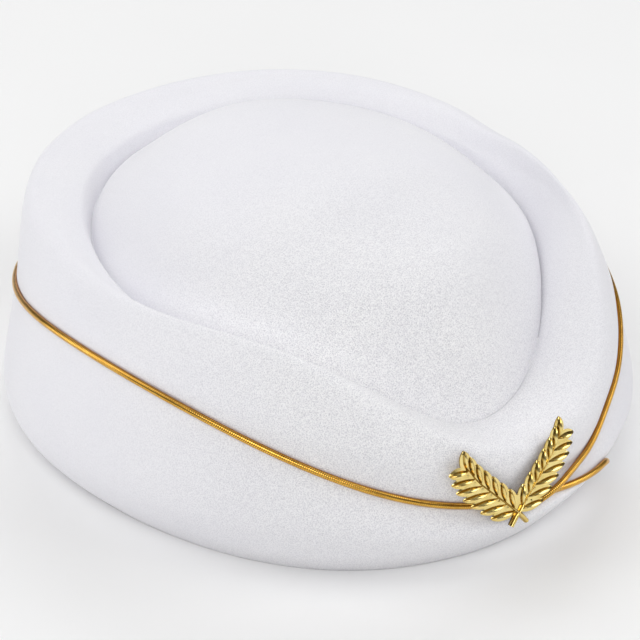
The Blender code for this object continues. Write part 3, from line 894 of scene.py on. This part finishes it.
def felt_material():
    """White felt with a fine nap, which stands up most at the front, and a colour that is darker
    towards the hem.
    """
    finish, tree, shader, place = new_material("flocked white felt")
    link = tree.links.new
    nap = noise_factor(tree, place, "nap")
    tufts = noise_factor(tree, place, "tufts")
    clouds = noise_factor(tree, place, "clouds")
    from_middle = vector_value(tree, 'DISTANCE', place, NAP_MIDDLE)
    standing = span(tree, from_middle, (NAP_FAR, NAP_NEAR), (NAP_LEAST, 1.0))
    mixed = node(tree, "ShaderNodeMix", data_type='RGBA')
    link(standing, mixed.inputs["Factor"])
    link(ramp(tree, nap, NOISE_RANGE, FLAT_NAP), mixed.inputs["A"])
    link(ramp(tree, nap, STANDING_RANGE, STANDING_NAP), mixed.inputs["B"])
    tone = times(tree, mixed.outputs["Result"], ramp(tree, clouds, NOISE_RANGE, FELT_CLOUDS))
    # colour darker towards the hem
    height = span(tree, split(tree, place, "Z"), (0.0, HEM_DARKENING_TOP))
    tone = times(tree, tone, ramp(tree, height, HEM_DARKENING_RANGE, HEM_DARKENING))
    link(tone, shader.inputs["Base Color"])
    link(span(tree, tufts, NOISE_RANGE, FELT_ROUGHNESS), shader.inputs["Roughness"])
    settle(shader, Specular_IOR_Level=0.15, Sheen_Weight=0.25, Sheen_Roughness=0.5)
    coarse = node(tree, "ShaderNodeBump", Strength=TUFT_STRENGTH, Distance=TUFT_BUMP)
    link(tufts, coarse.inputs["Height"])
    fine = node(tree, "ShaderNodeBump", Distance=NAP_BUMP)
    link(span(tree, standing, (NAP_LEAST, 1.0), NAP_STRENGTHS), fine.inputs["Strength"])
    link(nap, fine.inputs["Height"])
    link(coarse.outputs["Normal"], fine.inputs["Normal"])
    link(fine.outputs["Normal"], shader.inputs["Normal"])
    return finish


def fine_bumps(tree, shader, source, strength):
    """Fine bumps in a metal."""
    bump = node(tree, "ShaderNodeBump", Strength=strength, Distance=METAL_BUMP)
    tree.links.new(source, bump.inputs["Height"])
    tree.links.new(bump.outputs["Normal"], shader.inputs["Normal"])


def cord_material():
    """Gold thread, with painted shade in the hollows of its winding and on one side of the cord."""
    finish, tree, shader, place = new_material("gold wound thread")
    strands = noise_factor(tree, place, "strands")
    wear = noise_factor(tree, place, "wear")
    winding = node(tree, "ShaderNodeUVMap", uv_map="cord").outputs["UV"]
    along, round_cord = split(tree, winding, "X"), split(tree, winding, "Y")
    phase = worked_out(tree, 'SUBTRACT', along, round_cord)
    crown = worked_out(tree, 'COSINE', worked_out(tree, 'MULTIPLY', phase, 2 * math.pi))
    # angle round the cord from the side where its colour is painted brightest
    around = worked_out(tree, 'MULTIPLY_ADD', round_cord, 2 * math.pi, -math.radians(PAINTED_BRIGHT_SIDE))
    facing = worked_out(tree, 'COSINE', around)
    tone = ramp(tree, strands, NOISE_RANGE, THREAD)
    tone = times(tree, tone, ramp(tree, wear, NOISE_RANGE, THREAD_AGE))
    # painted shade in the hollows of the winding
    tone = times(tree, tone, ramp(tree, span(tree, crown, COSINES), HOLLOW_SHADE_RANGE, THREAD_HOLLOW_SHADE))
    # painted light: one side of the cord is painted bright and the other painted shade
    tone = times(tree, tone, ramp(tree, span(tree, facing, COSINES), SIDE_SHADE_RANGE, THREAD_SIDE_SHADE))
    tree.links.new(tone, shader.inputs["Base Color"])
    settle(shader, Metallic=0.9, Coat_Weight=0.1, Coat_Roughness=0.16)
    roughness = span(tree, strands, NOISE_RANGE, THREAD_ROUGHNESS)
    tree.links.new(roughness, shader.inputs["Roughness"])
    fine_bumps(tree, shader, strands, THREAD_STRENGTH)
    return finish


def relief_height(tree, place, shift):
    """Height over the badge's curved back of a place on it."""
    corner, right, _, outward = badge_frame()
    from_corner = node(tree, "ShaderNodeVectorMath", operation='SUBTRACT')
    from_corner.inputs[1].default_value = corner + shift
    tree.links.new(place, from_corner.inputs[0])
    offset = from_corner.outputs["Vector"]
    bent = tree.nodes.new("ShaderNodeCombineXYZ")
    tree.links.new(vector_value(tree, 'DOT_PRODUCT', offset, right), bent.inputs["X"])
    reach = vector_value(tree, 'DOT_PRODUCT', offset, outward)
    tree.links.new(worked_out(tree, 'ADD', reach, BADGE_BEND), bent.inputs["Z"])
    radius = node(tree, "ShaderNodeVectorMath", operation='LENGTH')
    tree.links.new(bent.outputs["Vector"], radius.inputs[0])
    return worked_out(tree, 'SUBTRACT', radius.outputs["Value"], BADGE_BEND)


def patina_and_painted_reflection(tree, height):
    """Tint of the gilt: antiqued dark on the walls, painted dark reflection on the grains' lower
    flanks at their feet, bright where it is rubbed.
    """
    share = span(tree, height, (0.0, RELIEF_TINT_HEIGHT))
    made = tree.nodes.new("ShaderNodeValToRGB")
    stops = made.color_ramp.elements
    for stop, (place, tint) in zip(stops, (PATINA_AND_PAINTED_REFLECTION[0], PATINA_AND_PAINTED_REFLECTION[-1])):
        stop.position = place
        stop.color = (*tint, 1.0)
    for place, tint in PATINA_AND_PAINTED_REFLECTION[1:-1]:
        stops.new(place).color = (*tint, 1.0)
    tree.links.new(share, made.inputs["Fac"])
    return made.outputs["Color"]


def gilt_material(name, tints, roughness, shift=None):
    """Plated metal with faint polishing marks; only the badge's has a shift and a tint of antiquing
    and painted dark reflection.
    """
    finish, tree, shader, place = new_material(name)
    marks = noise_factor(tree, place, "marks")
    tone = ramp(tree, noise_factor(tree, place, "tarnish"), NOISE_RANGE, tints)
    if shift is not None:
        # the badge's colour carries antiquing in its hollows and painted dark reflection on its
        # grains' flanks
        tone = times(tree, tone, patina_and_painted_reflection(tree, relief_height(tree, place, shift)))
    tree.links.new(tone, shader.inputs["Base Color"])
    settle(shader, Metallic=1.0)
    tree.links.new(span(tree, marks, NOISE_RANGE, roughness), shader.inputs["Roughness"])
    fine_bumps(tree, shader, marks, GILT_STRENGTH)
    return finish


def floor_material():
    """Pale floor with a faint mottle."""
    finish, tree, shader, place = new_material("pale floor")
    tone = ramp(tree, noise_factor(tree, place, "mottle"), NOISE_RANGE, FLOOR_TONE)
    tree.links.new(tone, shader.inputs["Base Color"])
    settle(shader, Roughness=0.9, Specular_IOR_Level=0.1)
    return finish


def area_light(name, place, size, power):
    """Square soft light aimed at the hat."""
    lamp = bpy.data.lights.new(name, 'AREA')
    lamp.shape = 'SQUARE'
    lamp.size = size
    lamp.energy = power
    item = bpy.data.objects.new(name, lamp)
    item.location = place
    item.rotation_mode = 'QUATERNION'
    item.rotation_quaternion = (Vector(LIGHT_TARGET) - place).to_track_quat('-Z', 'Y')
    bpy.context.scene.collection.objects.link(item)


def standpoint(azimuth, elevation):
    """Direction from the hat to a place that stands so far round from the front and up."""
    across, tilt = math.radians(azimuth), math.radians(elevation)
    level = math.cos(tilt)
    return Vector((math.sin(across) * level, -math.cos(across) * level, math.sin(tilt)))


def light_studio():
    """Plain white surroundings and soft lights placed round the camera's direction."""
    world = bpy.data.worlds.new("studio")
    bpy.context.scene.world = world
    world.use_nodes = True
    back = world.node_tree.nodes["Background"]
    back.inputs["Color"].default_value = (*WHITE, 1.0)
    back.inputs["Strength"].default_value = WORLD_STRENGTH
    for name, side, height, size, away, power in LIGHTS:
        area_light(name, standpoint(CAMERA_AZIMUTH + side, height) * away, size, power)


def place_camera(shift):
    """The camera where the photograph was taken from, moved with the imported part."""
    back = standpoint(CAMERA_AZIMUTH, CAMERA_ELEVATION)
    across, roll = math.radians(CAMERA_AZIMUTH), math.radians(CAMERA_ROLL)
    level = Vector((math.cos(across), math.sin(across), 0.0))
    over = back.cross(level)
    right = level * math.cos(roll) + over * math.sin(roll)
    up = over * math.cos(roll) - level * math.sin(roll)
    data = bpy.data.cameras.new("camera")
    data.sensor_width = SENSOR_WIDTH
    data.lens = SENSOR_WIDTH * CAMERA_SCALE
    data.shift_x, data.shift_y = FRAME_SHIFT
    camera = bpy.data.objects.new("camera", data)
    turn = Matrix((right, up, back)).transposed().to_4x4()
    place = Vector((0.0, 0.0, CAMERA_HEIGHT)) + back * CAMERA_DISTANCE + Vector(shift)
    camera.matrix_world = Matrix.Translation(place) @ turn
    bpy.context.scene.collection.objects.link(camera)
    bpy.context.scene.camera = camera


def make_floor():
    """The floor that the hat stands on, which isn't part of it."""
    half = FLOOR_HALF
    corners = [(-half, -half, 0), (half, -half, 0), (half, half, 0), (-half, half, 0)]
    floor = mesh_object("floor", corners, [(0, 1, 2, 3)], smooth=False)
    floor.data.materials.append(floor_material())


def own_shift():
    """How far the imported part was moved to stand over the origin."""
    low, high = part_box("felt_body")
    wall = [place / 20 for place in range(20, 100)]
    front = min(felt_point(0.0, along)[1] for along in wall)
    back = max(felt_point(180.0, along)[1] for along in wall)
    return np.array((0.0, (low.y + high.y) / 2 - (front + back) / 2, 0.0))


def main():
    """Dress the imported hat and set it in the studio."""
    for item in list(bpy.data.objects):
        bpy.data.objects.remove(item, do_unlink=True)
    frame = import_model()
    shift = own_shift()
    centres = cord_centres(CORD_TRACE)
    felt = make_felt(centres, shift)
    cord = make_cord(centres, shift)
    badge = make_badge(Vector(shift))
    pin = frame["nodes"]["badge_pin"]
    gilt = gilt_material("polished gilt", POLISHED_GILT, POLISHED_ROUGHNESS, Vector(shift))
    brass = gilt_material("satin brass", SATIN_BRASS, SATIN_ROUGHNESS)
    pieces = (
        (felt, felt_material(), "felt_body", "white_felt"),
        (cord, cord_material(), "trim_cord", "gold_cord"),
        (badge, gilt, "wheat_badge", "polished_gold"),
    )
    for item, finish, replaced, slot in pieces:
        item.data.materials.clear()
        item.data.materials.append(finish)
        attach(item, "root")
        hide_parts(replaced)
    pin.data.materials.clear()
    pin.data.materials.append(brass)
    make_floor()
    light_studio()
    place_camera(shift)
    bpy.context.scene.view_settings.view_transform = 'Standard'


main()
